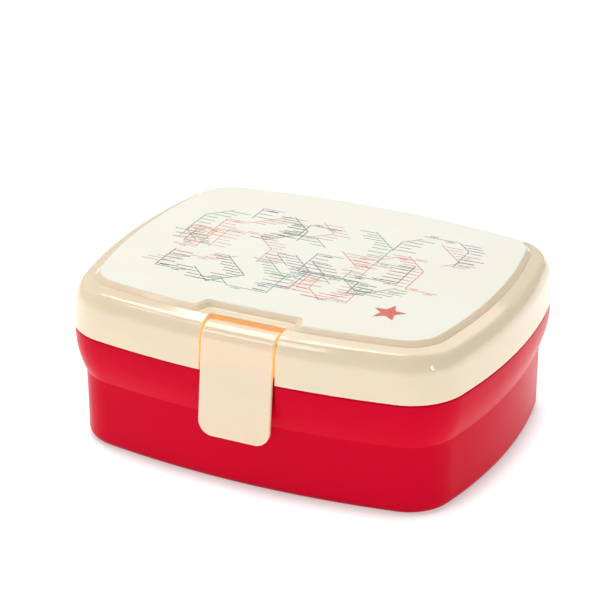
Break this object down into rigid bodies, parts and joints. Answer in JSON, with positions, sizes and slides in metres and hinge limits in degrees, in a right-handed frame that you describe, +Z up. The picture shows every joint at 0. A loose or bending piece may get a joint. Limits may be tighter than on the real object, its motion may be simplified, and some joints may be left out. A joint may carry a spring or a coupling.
{
  "type": "lunch box",
  "caption": "Hinged two-part plastic lunch box with a stepped tub, a raised printed lid panel, a front pivoting latch and a lift-out divided tray.",
  "frame": {"origin": "middle of the flat underside that the box stands on", "axes": "+X along the long side, -Y towards the latch, +Z up towards the lid"},
  "size_m": [0.175, 0.1505, 0.0702],
  "materials": {
    "tub_plastic": "satin-gloss red",
    "lid_plastic": "gloss cream",
    "label_film": "smooth ivory film",
    "pin_steel": "drawn wire",
    "tray_plastic": "fine matt"
  },
  "bodies": {
    "base": {"base_shell": "tub_plastic", "hinge_pin_left": "pin_steel", "hinge_pin_right": "pin_steel"},
    "lid": {"lid_shell": "lid_plastic", "lid_label": "label_film", "latch_pin": "pin_steel"},
    "latch": {"front_latch": "lid_plastic"},
    "tray": {"inner_tray": "tray_plastic"}
  },
  "joints": [
    {"name": "lid_hinge", "type": "hinge", "parent": "base", "child": "lid", "pos_m": [0, 0.073, 0.0491], "axis": [-1, 0, 0], "range_deg": [0, 110]},
    {"name": "latch_pivot", "type": "hinge", "parent": "lid", "child": "latch", "pos_m": [0, -0.065, 0.063], "axis": [-1, 0, 0], "range_deg": [0, 110]},
    {"name": "tray_lift", "type": "slide", "parent": "base", "child": "tray", "axis": [0, 0, 1], "range_m": [0, 0.003]}
  ]
}
